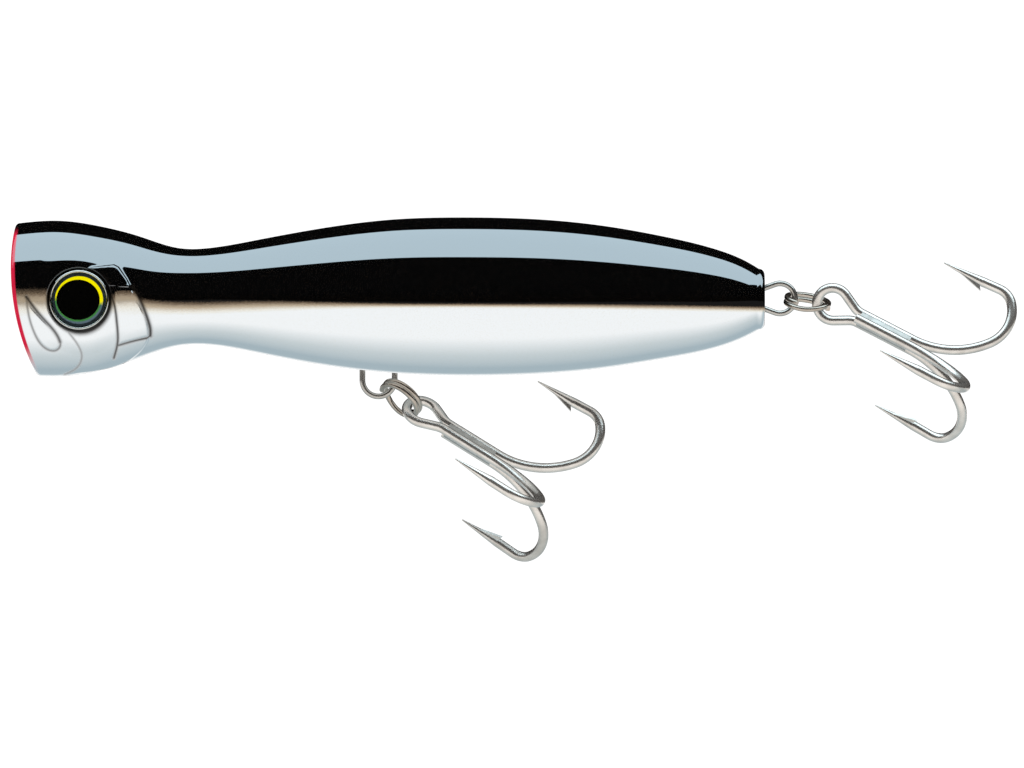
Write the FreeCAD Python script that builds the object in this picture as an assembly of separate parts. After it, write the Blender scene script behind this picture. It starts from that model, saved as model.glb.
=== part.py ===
"""Topwater popper: a hollow two-shell lure with wire hangers, split rings, treble hooks and a sliding casting weight.

Frame, in millimetres: the origin is the centre of the line tie's eye, +X runs to the tail, +Z to the back (the top)
and +Y to the lure's right side. Stations along the body are measured from the foremost point of the lip.
"""

import math
import os

import FreeCAD
import Part

from FreeCAD import Matrix, Placement, Rotation, Vector

# ---- driving dimensions -------------------------------------------------------------------------------------------

BODY_LENGTH = 130.0  # lip to tail face
LINE_TIE_STATION = 3.8  # line tie eye's centre, behind the foremost point of the lip
WIDTH_SHARE = 0.95  # body width over body height
WALL = 1.6  # shell wall
SEAM_GAP = 0.02  # between each half and the seam plane
FIT_GAP = 0.03  # around a wire, magnet or eye held in its moulded pocket

# (station, top, bottom): the outline of the body from lip to tail
BODY_OUTLINE = [
    (-3.0, 12.40, -12.95),
    (2.5, 13.10, -13.40),
    (8.0, 13.35, -13.55),
    (15.0, 12.40, -12.55),
    (22.0, 10.60, -10.27),
    (28.5, 8.65, -8.27),
    (34.0, 8.65, -8.10),
    (42.0, 10.00, -9.43),
    (53.0, 12.00, -11.50),
    (66.0, 13.60, -13.00),
    (78.0, 13.93, -13.42),
    (90.0, 13.65, -13.16),
    (102.0, 12.50, -12.15),
    (113.0, 10.55, -10.40),
    (122.0, 8.29, -8.48),
    (127.5, 5.97, -6.30),
    (BODY_LENGTH, 4.40, -4.90),
]
CAVITY_START = 14.0
CAVITY_END = 121.0
HEAD_WALL = 3.0  # thicker wall beside the eye sockets
HEAD_WALL_END = 22.0
TAIL_ROUND = 0.8
FAR = 30.0  # further from the axis than any part of the body
CLEAR = 1.0  # how far a cutter runs past what it cuts

MOUTH_ARC_RADIUS = 47.0  # side view of the slanted mouth
MOUTH_ARC_HEIGHT = 6.0  # height at which the mouth is foremost
MOUTH_BACK = 14.0  # behind the hindmost point of the lip
CUP_STATION = 2.2
CUP_HEIGHT = -0.2
CUP_TILT = 9.0  # degrees, with the mouth
CUP_DEPTH = 8.2
CUP_HALF_HEIGHT = 12.0
CUP_HALF_WIDTH = 11.4

EYE_STATION = 11.8
EYE_HEIGHT = -0.43
EYE_RADIUS = 4.65
EYE_RIM_RADIUS = 5.15
EYE_GROOVE_RADIUS = 5.65
EYE_GROOVE_FLOOR = 11.85  # distance from the centre plane, as are the next two
EYE_FLOOR = 11.35
EYE_RIM_TOP = 12.75
EYE_RIM_ROOT = 1.0  # how far the rim runs on below the socket floor
EYE_DISC_THICKNESS = 0.5
EYE_LENS_EDGE = 0.65
EYE_LENS_DOME = 0.8

HANGER_WIRE = 1.0  # diameter
LINE_TIE_LOOP = 2.2  # radius of the wire's centreline in each loop
TAIL_LOOP = 2.6
BELLY_LOOP = 2.79
TAIL_LOOP_STATION = 132.68
TAIL_LOOP_HEIGHT = -0.10
BELLY_LOOP_STATION = 63.2
BELLY_LOOP_HEIGHT = -14.26
OMEGA_HALF_ANGLE = 110.0  # how far each omega loop wraps, each side of its outer end
LEG_SPACING = 0.75  # half the distance between an omega loop's inner legs
LEG_BEND_RADIUS = 1.2
LEG_LENGTH = 5.0
BELLY_LEG_LENGTH = 6.0
FOOT_LENGTH = 2.6
FOOT_BEND_RADIUS = 0.84

BLOCK_HALF_WIDTH = 3.4  # plastic around the wires' legs
BLOCK_HALF_HEIGHT = 4.6
LINE_TIE_BLOCK = (9.5, 17.5)  # first and last station
TAIL_BLOCK = (118.0, 128.0)

CHANNEL_RADIUS = 5.1
CHANNEL_WALL = 1.0
CHANNEL_END_WALL = 1.5  # ahead of the magnet and behind the balls
BALL_RADIUS = 4.7625  # 3/8 inch steel balls
BALL_COUNT = 3
BALL_GAP = 0.05
MAGNET_STATION = 50.0
MAGNET_RADIUS = 4.0
MAGNET_LENGTH = 3.0
MAGNET_LIP = 0.2  # keeps the balls off the magnet's face
MAGNET_WINDOW_RADIUS = 3.2  # hole in the lip and in the front wall
CHANNEL_END_STATION = 117.0
RIB_STATIONS = (24.0, 38.0, 72.0, 88.0, 104.0)
RIB_THICKNESS = 1.2
RIB_HOLE_SHARE = 0.45  # of the section, in ribs ahead of the channel

# (station, height) of each alignment pin, all of them on ribs
PIN_SPOTS = [(24.0, 5.8), (38.0, -5.1), (72.0, 9.3), (72.0, -9.3), (104.0, 8.1), (104.0, -8.1)]
PIN_RADIUS = 0.8
PIN_LENGTH = 1.6
PIN_ROOT = 1.5  # inside its own shell
SOCKET_SPARE = 0.2
PIN_BOSS_RADIUS = 1.7
PIN_BOSS_LENGTH = 2.6

RING_OUTER = 4.1  # split ring radius
RING_WIDTH = 0.95  # radial width of its wire
RING_TURN = 0.85  # thickness of one turn
RING_LAYER_GAP = 0.04
RING_CORNER = 0.34
RING_CROSSOVER = 55.0  # degrees each side of the place where the wire steps from one layer to the other
RING_END_GAP = 4.0  # degrees between a wire end and the crossover
RING_SPANS = 48  # of its path's curve

HOOK_WIRE = 1.70  # diameter
HOOK_EYE_LOOP = 2.85  # radius of the wire's centreline
HOOK_EYE_THROAT = 4.4  # from the eye's centre to where its two legs meet
HOOK_EYE_BEND = 3.0
SHANK_OFFSET = 1.02  # each wire's centreline from the treble's axis
SHANK_END = 15.3  # from the eye's centre to the start of the bend
BEND_RADII = (14.9, 6.64, 3.66)
BEND_ANGLES = (53.0, 129.0, 183.6)  # direction of the wire after each arc, from the shank's direction
POINT_STRAIGHT = 3.2  # from the bend to the barb
POINT_LENGTH = 7.5  # from the barb to the tip
POINT_TIP = 0.11  # radius
POINT_LIFT = 0.35  # the tip is nearer the wire's outer side
BARB_START = 4.6  # where its slope rises from the point, ahead of the point's base
BARB_OVERHANG = 0.35  # of its tip, behind the base
BARB_HEIGHT = 0.8  # of its tip, over the wire
BARB_FOOT = 0.5  # depth of its back face's inner end, below the wire's axis
BARB_THICKNESS = 0.55
SINGLE_START = 4.9  # where the brazed single hook's shank begins
DOUBLE_START = 5.5  # where the eye's legs meet the double hook's shanks
BRAZE_START = 5.4
BRAZE_END = 15.0
BRAZE_SKIN = 0.1  # how far the braze's flats lie inside the wires' outer tangents


class Chain:
    """Where one split ring and one treble hang at rest, from the loop that carries them."""

    def __init__(self, name, loop_centre, loop_radius, loop_angle, ring_dip, ring_lean, ring_slack, eye_gap,
                 hook_yaw, hook_dip, hook_roll, eye_angle, double_phis, single_phi):
        self.name = name
        self.double_phis = double_phis
        self.single_phi = single_phi
        inner = RING_OUTER - RING_WIDTH
        self.along = unit(math.cos(rad(ring_dip)), 0, -math.sin(rad(ring_dip)))
        up = unit(math.sin(rad(ring_dip)), 0, math.cos(rad(ring_dip)))
        side = Vector(0, -1, 0)
        self.across = up * math.sin(rad(ring_lean)) + side * math.cos(rad(ring_lean))
        self.normal = self.along.cross(self.across)
        loop_out = unit(math.cos(rad(loop_angle)), 0, -math.sin(rad(loop_angle)))
        self.hanger_point = loop_centre + loop_out * loop_radius
        self.hanger_axis = unit(math.sin(rad(loop_angle)), 0, math.cos(rad(loop_angle)))
        self.ring_centre = self.hanger_point + self.along * (inner - HANGER_WIRE / 2 - ring_slack)
        self.ring_wire_point = self.ring_centre + self.along * (RING_OUTER - RING_WIDTH / 2)
        eye_wire_point = self.ring_centre + self.along * (inner - HOOK_WIRE / 2 - eye_gap)
        self.hook_turn = (
            Rotation(Vector(0, 1, 0), hook_dip)
            * Rotation(Vector(0, 0, 1), hook_yaw)
            * Rotation(Vector(1, 0, 0), hook_roll)
        )
        axis = self.hook_turn.multVec(Vector(1, 0, 0))
        one, two = (self.hook_turn.multVec(radial(phi)) for phi in double_phis)
        eye_side = (one - two).normalize()
        to_contact = eye_side * math.sin(rad(eye_angle)) - axis * math.cos(rad(eye_angle))
        eye_plane_offset = (one + two) * (SHANK_OFFSET / 2)
        self.eye_centre = eye_wire_point - to_contact * HOOK_EYE_LOOP - eye_plane_offset


def rad(degrees):
    return math.radians(degrees)


def unit(x, y, z):
    return Vector(x, y, z).normalize()


def station(u):
    """X of a station measured from the foremost point of the lip."""
    return u - LINE_TIE_STATION


def radial(phi):
    """Direction square to a treble's axis, in its own frame: 0 is +Z, and positive turns towards -Y."""
    return Vector(0, -math.sin(rad(phi)), math.cos(rad(phi)))


def cylinder(radius, start, direction, length):
    return Part.makeCylinder(radius, length, start, direction)


def box(low, high):
    size = high - low
    return Part.makeBox(size.x, size.y, size.z, low)


# ---- wires bent from straight runs and arcs -----------------------------------------------------------------------


def bent_path(points, radii):
    """A wire path through the points, with an arc of the given radius at each inner point."""
    edges = []
    start = points[0]
    for before, corner, after, radius in zip(points, points[1:], points[2:], radii):
        back = (before - corner).normalize()
        forth = (after - corner).normalize()
        half = back.getAngle(forth) / 2
        reach = radius / math.tan(half)
        middle = (back + forth).normalize() * (radius / math.sin(half) - radius)
        arc_start = corner + back * reach
        arc_end = corner + forth * reach
        if start.distanceToPoint(arc_start) > 1e-6:
            edges.append(Part.LineSegment(start, arc_start).toShape())
        edges.append(Part.Arc(arc_start, corner + middle, arc_end).toShape())
        start = arc_end
    edges.append(Part.LineSegment(start, points[-1]).toShape())
    return edges


def tube(edges, diameter):
    """A round wire along joined edges."""
    first = edges[0]
    ring = Part.Circle(first.valueAt(first.FirstParameter), first.tangentAt(first.FirstParameter), diameter / 2)
    profile = Part.Wire([ring.toShape()])
    return Part.Wire(edges).makePipeShell([profile], True, False)


def loop_hanger(loop_radius, half_angle, inner_points, inner_radii):
    """Edges of a symmetric wire form in the XZ plane: a loop around the origin that opens to -X, then its two legs."""
    end = Vector(math.cos(rad(half_angle)) * loop_radius, 0, math.sin(rad(half_angle)) * loop_radius)
    leg = bent_path([end, *inner_points], inner_radii)
    low_points = [Vector(p.x, 0, -p.z) for p in [end, *inner_points]]
    low_leg = bent_path(low_points, inner_radii)
    loop = Part.Arc(end, Vector(loop_radius, 0, 0), low_points[0]).toShape()
    reversed_leg = [Part.Edge(e.Curve, e.FirstParameter, e.LastParameter) for e in reversed(leg)]
    return Part.__sortEdges__([*reversed_leg, loop, *low_leg])


def omega_hanger(loop_radius, diameter):
    """The line tie and the tail hanger: a loop whose legs draw together inside the body and end in bent feet."""
    spread = math.sin(rad(OMEGA_HALF_ANGLE)) * loop_radius
    back = math.cos(rad(OMEGA_HALF_ANGLE)) * loop_radius
    lean = rad(OMEGA_HALF_ANGLE - 90)
    run = (spread - LEG_SPACING) / math.tan(lean)
    knee = Vector(back - run, 0, LEG_SPACING)
    ankle = Vector(knee.x - LEG_LENGTH, 0, LEG_SPACING)
    toe = Vector(ankle.x, 0, LEG_SPACING + FOOT_LENGTH)
    edges = loop_hanger(loop_radius, OMEGA_HALF_ANGLE, [knee, ankle, toe], [LEG_BEND_RADIUS, FOOT_BEND_RADIUS])
    return tube(edges, diameter)


def u_hanger(loop_radius, diameter):
    """The belly hanger: a U whose straight legs end in feet bent apart, fore and aft."""
    ankle = Vector(-BELLY_LEG_LENGTH, 0, loop_radius)
    toe = Vector(ankle.x, 0, loop_radius + FOOT_LENGTH)
    edges = loop_hanger(loop_radius, 90.0, [ankle, toe], [FOOT_BEND_RADIUS])
    return tube(edges, diameter)


def hanger_places():
    """Placement that takes each wire form from its own frame, loop towards +X, to the body."""
    return {
        "line_tie_wire": Placement(Vector(0, 0, 0), Rotation(Vector(0, 1, 0), 180)),
        "tail_hanger_wire": Placement(Vector(station(TAIL_LOOP_STATION), 0, TAIL_LOOP_HEIGHT), Rotation()),
        "belly_hanger_wire": Placement(
            Vector(station(BELLY_LOOP_STATION), 0, BELLY_LOOP_HEIGHT), Rotation(Vector(0, 1, 0), 90)
        ),
    }


def hangers(diameter):
    places = hanger_places()
    shapes = {
        "line_tie_wire": omega_hanger(LINE_TIE_LOOP, diameter),
        "tail_hanger_wire": omega_hanger(TAIL_LOOP, diameter),
        "belly_hanger_wire": u_hanger(BELLY_LOOP, diameter),
    }
    return {name: shape.transformed(places[name].toMatrix(), copy=True) for name, shape in shapes.items()}


# ---- the body ------------------------------------------------------------------------------------------------------


def ellipse_wire(u, top, bottom, half_width):
    """A closed section of the body, square to X."""
    centre = Vector(station(u), 0, (top + bottom) / 2)
    curve = Part.Ellipse(centre + Vector(0, 0, (top - bottom) / 2), centre + Vector(0, half_width, 0), centre)
    return Part.Wire([curve.toShape()])


def loft(sections):
    return Part.makeLoft([ellipse_wire(*s) for s in sections], True, False)


def outer_sections():
    return [(u, top, bottom, WIDTH_SHARE * (top - bottom) / 2) for u, top, bottom in BODY_OUTLINE]


def outline_at(u):
    """Top and bottom of the body at a station, straight between the outline's points."""
    for (u0, t0, b0), (u1, t1, b1) in zip(BODY_OUTLINE, BODY_OUTLINE[1:]):
        if u0 <= u <= u1:
            share = (u - u0) / (u1 - u0)
            return t0 + (t1 - t0) * share, b0 + (b1 - b0) * share
    raise ValueError(f"station {u} is outside the body")


def cavity_sections():
    """The hollow inside the two shells."""
    stations = [CAVITY_START, HEAD_WALL_END, *(u for u, _, _ in BODY_OUTLINE if HEAD_WALL_END < u < CAVITY_END)]
    sections = []
    for u in [*stations, CAVITY_END]:
        top, bottom = outline_at(u)
        wall = HEAD_WALL if u < HEAD_WALL_END else WALL
        sections.append((u, top - wall, bottom + wall, WIDTH_SHARE * (top - bottom) / 2 - wall))
    return sections


def mouth_cutter():
    """Everything ahead of the slanted, bulging mouth."""
    block = box(Vector(station(-FAR), -FAR, -FAR), Vector(station(MOUTH_BACK), FAR, FAR))
    axis_start = Vector(station(MOUTH_ARC_RADIUS), -FAR - CLEAR, MOUTH_ARC_HEIGHT)
    roll = cylinder(MOUTH_ARC_RADIUS, axis_start, Vector(0, 1, 0), 2 * (FAR + CLEAR))
    return block.cut(roll)


def mouth_cup():
    """The bowl that is scooped out of the face."""
    stretch = Matrix()
    stretch.A11 = CUP_DEPTH
    stretch.A22 = CUP_HALF_WIDTH
    stretch.A33 = CUP_HALF_HEIGHT
    bowl = Part.makeSphere(1.0).transformGeometry(stretch)
    bowl.rotate(Vector(0, 0, 0), Vector(0, 1, 0), CUP_TILT)
    bowl.translate(Vector(station(CUP_STATION), 0, CUP_HEIGHT))
    return bowl


def body_solid():
    """The whole outer form, before it is split and hollowed."""
    solid = loft(outer_sections())
    tail_edges = [
        e for e in solid.Edges if abs(e.CenterOfMass.x - station(BODY_LENGTH)) < 0.01 and e.Length > 10
    ]
    solid = solid.makeFillet(TAIL_ROUND, tail_edges)
    return solid.cut(mouth_cutter()).cut(mouth_cup())


def wire_blocks():
    """Solid plastic around each wire's legs, which the shells clamp between them."""
    _, low_bottom = outline_at(BELLY_LOOP_STATION)
    reach = BELLY_LOOP + FOOT_LENGTH + WALL
    spans = [
        (*LINE_TIE_BLOCK, -BLOCK_HALF_HEIGHT, BLOCK_HALF_HEIGHT),
        (*TAIL_BLOCK, -BLOCK_HALF_HEIGHT, BLOCK_HALF_HEIGHT),
        (BELLY_LOOP_STATION - reach, BELLY_LOOP_STATION + reach, low_bottom, -CHANNEL_RADIUS - CHANNEL_WALL / 2),
    ]
    return [
        box(Vector(station(first), -BLOCK_HALF_WIDTH, low), Vector(station(last), BLOCK_HALF_WIDTH, high))
        for first, last, low, high in spans
    ]


def ribs():
    """Cross walls, open in the middle: for weight ahead of the channel, and for the channel along it."""
    made = []
    for u in RIB_STATIONS:
        top, bottom = outline_at(u)
        half = RIB_THICKNESS / 2
        plate = box(Vector(station(u) - half, -FAR, -FAR), Vector(station(u) + half, FAR, FAR))
        radius = CHANNEL_RADIUS if u > MAGNET_STATION else RIB_HOLE_SHARE * (top - bottom) / 2
        hole = cylinder(radius, Vector(station(u) - RIB_THICKNESS, 0, 0), Vector(1, 0, 0), 2 * RIB_THICKNESS)
        made.append(plate.cut(hole))
    return made


def channel():
    """The tube that the balls run in, closed by the magnet's seat in front and a stop behind."""
    ahead = Vector(1, 0, 0)
    magnet_front, channel_end = station(MAGNET_STATION), station(CHANNEL_END_STATION)
    seat_front = magnet_front - CHANNEL_END_WALL
    length = channel_end + CHANNEL_END_WALL - seat_front
    bore_start = magnet_front + MAGNET_LENGTH + MAGNET_LIP
    window_length = bore_start - seat_front + 2 * CLEAR
    whole = cylinder(CHANNEL_RADIUS + CHANNEL_WALL, Vector(seat_front, 0, 0), ahead, length)
    bore = cylinder(CHANNEL_RADIUS, Vector(bore_start, 0, 0), ahead, channel_end - bore_start)
    pocket = cylinder(MAGNET_RADIUS + FIT_GAP, Vector(magnet_front, 0, 0), ahead, MAGNET_LENGTH + 2 * FIT_GAP)
    window = cylinder(MAGNET_WINDOW_RADIUS, Vector(seat_front - CLEAR, 0, 0), ahead, window_length)
    return whole.cut(bore).cut(pocket).cut(window)


def pin_parts(side):
    """Bosses for the alignment pins of one shell, and the pins (left shell) or their sockets (right shell)."""
    bosses, pins, sockets = [], [], []
    for u, height in PIN_SPOTS:
        foot = Vector(station(u), 0, height)
        bosses.append(cylinder(PIN_BOSS_RADIUS, foot, Vector(0, side, 0), PIN_BOSS_LENGTH))
        pins.append(cylinder(PIN_RADIUS, foot - Vector(0, PIN_ROOT, 0), Vector(0, 1, 0), PIN_LENGTH + PIN_ROOT))
        sockets.append(cylinder(PIN_RADIUS + FIT_GAP, foot, Vector(0, 1, 0), PIN_LENGTH + SOCKET_SPARE))
    return bosses, pins, sockets


def eye_spot(side, distance):
    return Vector(station(EYE_STATION), side * distance, EYE_HEIGHT)


def with_eye_socket(shell, side):
    """The socket floor and rim, with the groove around the rim."""
    out = Vector(0, side, 0)
    root = EYE_FLOOR - EYE_RIM_ROOT
    groove = cylinder(EYE_GROOVE_RADIUS, eye_spot(side, EYE_GROOVE_FLOOR), out, FAR)
    rim = cylinder(EYE_RIM_RADIUS, eye_spot(side, root), out, EYE_RIM_TOP - root)
    pocket = cylinder(EYE_RADIUS + FIT_GAP, eye_spot(side, EYE_FLOOR), out, FAR)
    return shell.cut(groove).fuse(rim).cut(pocket)


def hollow_body():
    """The outer form with every inner space left as a void."""
    outer = body_solid()
    bosses = pin_parts(-1)[0] + pin_parts(1)[0]
    spaces = loft(cavity_sections()).cut([channel(), *ribs(), *wire_blocks(), *bosses])
    skins = [outer.Shells[0]] + [s.Shells[0].reversed() for s in spaces.Solids]
    return Part.Solid(Part.Compound(skins))


def shell(side, hollow, wires):
    """One half of the body, on side +1 (right) or -1 (left) of the seam plane."""
    low, high = sorted((side * SEAM_GAP, side * FAR))
    half_space = box(Vector(station(-FAR), low, -FAR), Vector(station(BODY_LENGTH + FAR), high, FAR))
    _, pins, sockets = pin_parts(side)
    half = hollow.common(half_space)
    if side < 0:
        half = half.fuse(pins).cut(wires)
    else:
        half = half.cut([*sockets, *wires])
    return with_eye_socket(half, side)


def eye_disc(side):
    out = Vector(0, side, 0)
    return cylinder(EYE_RADIUS, eye_spot(side, EYE_FLOOR + FIT_GAP), out, EYE_DISC_THICKNESS)


def eye_lens(side):
    """Clear domed cover of one eye, in front of its disc."""
    back = EYE_FLOOR + 2 * FIT_GAP + EYE_DISC_THICKNESS
    shoulder = back + EYE_LENS_EDGE
    crown = shoulder + EYE_LENS_DOME
    dome_radius = (EYE_RADIUS**2 + EYE_LENS_DOME**2) / (2 * EYE_LENS_DOME)
    swing = math.asin(EYE_RADIUS / dome_radius) / 2
    bulge = Vector(dome_radius * math.sin(swing), 0, crown - dome_radius * (1 - math.cos(swing)))
    rim = Vector(EYE_RADIUS, 0, shoulder)
    edges = [
        Part.LineSegment(Vector(0, 0, crown), Vector(0, 0, back)).toShape(),
        Part.LineSegment(Vector(0, 0, back), Vector(EYE_RADIUS, 0, back)).toShape(),
        Part.LineSegment(Vector(EYE_RADIUS, 0, back), rim).toShape(),
        Part.Arc(rim, bulge, Vector(0, 0, crown)).toShape(),
    ]
    lens = Part.Face(Part.Wire(edges)).revolve(Vector(0, 0, 0), Vector(0, 0, 1), 360)
    lens.rotate(Vector(0, 0, 0), Vector(1, 0, 0), -90 * side)
    lens.translate(eye_spot(side, 0))
    return lens


def magnet():
    return cylinder(MAGNET_RADIUS, Vector(station(MAGNET_STATION) + FIT_GAP, 0, 0), Vector(1, 0, 0), MAGNET_LENGTH)


def balls():
    """Steel balls at rest against the magnet, lying on the bottom of their channel."""
    first = station(MAGNET_STATION) + MAGNET_LENGTH + MAGNET_LIP + BALL_GAP + BALL_RADIUS
    height = -(CHANNEL_RADIUS - BALL_RADIUS - BALL_GAP)
    step = 2 * BALL_RADIUS + BALL_GAP
    return [Part.makeSphere(BALL_RADIUS, Vector(first + i * step, 0, height)) for i in range(BALL_COUNT)]


# ---- split rings ---------------------------------------------------------------------------------------------------


def ring_rise(angle):
    """Height of the wire's centre along the ring, which steps up by one layer across the crossover."""
    half_step = (RING_TURN + RING_LAYER_GAP) / 2
    share = min(1.0, max(-1.0, (angle - 360.0) / RING_CROSSOVER))
    return half_step * math.sin(share * math.pi / 2)


def split_ring(chain, crossover_turn):
    """Two turns of flattened wire, with one step from layer to layer."""
    middle = RING_OUTER - RING_WIDTH / 2
    first = RING_CROSSOVER + RING_END_GAP
    last = 720.0 - first
    angles = [first + (last - first) * i / RING_SPANS for i in range(RING_SPANS + 1)]
    points = [Vector(middle * math.cos(rad(a)), middle * math.sin(rad(a)), ring_rise(a)) for a in angles]
    curve = Part.BSplineCurve()
    curve.interpolate(points)
    path = Part.Wire([curve.toShape()])
    start = points[0]
    outward = Vector(start.x, start.y, 0).normalize()
    section = rounded_section(start, outward, Vector(0, 0, 1))
    sweep = Part.BRepOffsetAPI.MakePipeShell(path)
    sweep.setBiNormalMode(Vector(0, 0, 1))
    sweep.add(section)
    sweep.build()
    sweep.makeSolid()
    ring = sweep.shape()
    ring.rotate(Vector(0, 0, 0), Vector(0, 0, 1), crossover_turn)
    turn = Matrix(
        chain.along.x, chain.across.x, chain.normal.x, chain.ring_centre.x,
        chain.along.y, chain.across.y, chain.normal.y, chain.ring_centre.y,
        chain.along.z, chain.across.z, chain.normal.z, chain.ring_centre.z,
        0, 0, 0, 1,
    )
    return ring.transformed(turn, copy=True)


def rounded_section(centre, wide, tall):
    """The ring wire's section, with rounded corners."""
    half_w, half_t, corner = RING_WIDTH / 2, RING_TURN / 2, RING_CORNER
    spots = [(-half_w, -half_t), (half_w, -half_t), (half_w, half_t), (-half_w, half_t)]
    corners = [centre + wide * a + tall * b for a, b in spots]
    start = (corners[3] + corners[0]) * 0.5
    edges = bent_path([start, *corners, start], [corner] * 4)
    return Part.Wire(edges)


# ---- treble hooks ---------------------------------------------------------------------------------------------------


def bend_frame(phi):
    """Function from (distance along the shank, distance from the axis) in one hook's plane to a point."""
    out = radial(phi)
    return lambda s, r: Vector(s, 0, 0) + out * r


def bend_edges(phi):
    """Arcs of one hook's bend, the point where they end and the direction there."""
    at = bend_frame(phi)
    s, r, angle = SHANK_END, SHANK_OFFSET, 0.0
    edges = []
    for radius, end_angle in zip(BEND_RADII, BEND_ANGLES):
        centre_s = s - radius * math.sin(rad(angle))
        centre_r = r + radius * math.cos(rad(angle))
        spots = [
            (centre_s + radius * math.sin(rad(a)), centre_r - radius * math.cos(rad(a)))
            for a in (angle, (angle + end_angle) / 2, end_angle)
        ]
        edges.append(Part.Arc(*(at(*p) for p in spots)).toShape())
        (s, r), angle = spots[-1], end_angle
    return edges, (s, r), angle


def hook_point(phi):
    """The tapered point and its barb."""
    at = bend_frame(phi)
    _, (s, r), angle = bend_edges(phi)
    run_s, run_r = math.cos(rad(angle)), math.sin(rad(angle))

    def spot(along, outward):
        """A point by its distance along the hook's straight end from the barb, and out from the wire's axis."""
        ahead = POINT_STRAIGHT + along
        return at(s + run_s * ahead + run_r * outward, r + run_r * ahead - run_s * outward)

    base, tip = spot(0, 0), spot(POINT_LENGTH, POINT_LIFT)
    direction = spot(1, 0) - base
    circles = [Part.Circle(base, direction, HOOK_WIRE / 2), Part.Circle(tip, direction, POINT_TIP)]
    cone = Part.makeLoft([Part.Wire([circle.toShape()]) for circle in circles], True, True)
    corners = [
        spot(BARB_START, 0),
        spot(-BARB_OVERHANG, -HOOK_WIRE / 2 - BARB_HEIGHT),
        spot(BARB_OVERHANG, -BARB_FOOT),
    ]
    side = (corners[1] - corners[0]).cross(corners[2] - corners[0]).normalize()
    near = [c - side * (BARB_THICKNESS / 2) for c in corners]
    barb = Part.Face(Part.makePolygon([*near, near[0]])).extrude(side * BARB_THICKNESS)
    return cone.fuse(barb)


def hook_limb(phi, shank_start):
    """Shank, bend and straight of one hook, without its point."""
    at = bend_frame(phi)
    edges, (s, r), angle = bend_edges(phi)
    run = (math.cos(rad(angle)), math.sin(rad(angle)))
    shank = Part.LineSegment(at(shank_start, SHANK_OFFSET), at(SHANK_END, SHANK_OFFSET)).toShape()
    straight = Part.LineSegment(
        at(s, r), at(s + run[0] * POINT_STRAIGHT, r + run[1] * POINT_STRAIGHT)
    ).toShape()
    return tube([shank, *edges, straight], HOOK_WIRE)


def single_hook(phi):
    return hook_limb(phi, SINGLE_START).fuse(hook_point(phi)).removeSplitter()


def hook_eye(phis):
    """The eye and the short ends of its two legs, in the plane of the double hook's two shanks."""
    one, two = radial(phis[0]), radial(phis[1])
    middle = (one + two) * (SHANK_OFFSET / 2)
    side = (one - two).normalize()
    half = (one - two).Length * SHANK_OFFSET / 2
    reach = math.hypot(HOOK_EYE_THROAT, half)
    lean = math.asin(HOOK_EYE_LOOP / reach) - math.atan2(half, HOOK_EYE_THROAT)
    touch_s = HOOK_EYE_LOOP * math.sin(lean)
    touch_e = HOOK_EYE_LOOP * math.cos(lean)

    def spot(s, e):
        return middle + Vector(s, 0, 0) + side * e

    leg = [spot(DOUBLE_START, half), spot(HOOK_EYE_THROAT, half), spot(touch_s, touch_e)]
    other = [spot(DOUBLE_START, -half), spot(HOOK_EYE_THROAT, -half), spot(touch_s, -touch_e)]
    first = bent_path(leg, [HOOK_EYE_BEND])
    second = bent_path(list(reversed(other)), [HOOK_EYE_BEND])
    arc = Part.Arc(leg[-1], spot(-HOOK_EYE_LOOP, 0), other[-1]).toShape()
    return tube([*first, arc, *second], HOOK_WIRE)


def double_hook(phis):
    """Two hooks and the eye bent from one wire."""
    limbs = [hook_limb(phi, DOUBLE_START) for phi in phis]
    points = [hook_point(phi) for phi in phis]
    return hook_eye(phis).multiFuse([*limbs, *points]).removeSplitter()


def braze(phis):
    """Solder that joins the three shanks: a three-sided bar, cut away where the wires run."""
    inner = SHANK_OFFSET + HOOK_WIRE / 2 - BRAZE_SKIN
    flat = SHANK_OFFSET / 2 + HOOK_WIRE / 2 - BRAZE_SKIN
    length = BRAZE_END - BRAZE_START
    cut_start = Vector(BRAZE_START - CLEAR, 0, 0)
    cut_length = Vector(length + 2 * CLEAR, 0, 0)
    bar = cylinder(inner, Vector(BRAZE_START, 0, 0), Vector(1, 0, 0), length)
    for phi in phis:
        out = radial(phi + 180)
        side = out.cross(Vector(1, 0, 0))
        low, high = cut_start + out * flat, cut_start + out * (flat + inner)
        outline = [low - side * inner, low + side * inner, high + side * inner, high - side * inner]
        bar = bar.cut(Part.Face(Part.makePolygon([*outline, outline[0]])).extrude(cut_length))
    for phi in phis:
        start = cut_start + radial(phi) * SHANK_OFFSET
        bar = bar.cut(cylinder(HOOK_WIRE / 2, start, Vector(1, 0, 0), cut_length.x))
    return bar


def treble(chain):
    """The three pieces of one treble hook, in place."""
    place = Placement(chain.eye_centre, chain.hook_turn).toMatrix()
    pieces = {
        "double_hook": double_hook(chain.double_phis),
        "single_hook": single_hook(chain.single_phi),
        "shank_braze": braze([*chain.double_phis, chain.single_phi]),
    }
    return {f"{chain.name}_{name}": shape.transformed(place, copy=True) for name, shape in pieces.items()}


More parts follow.
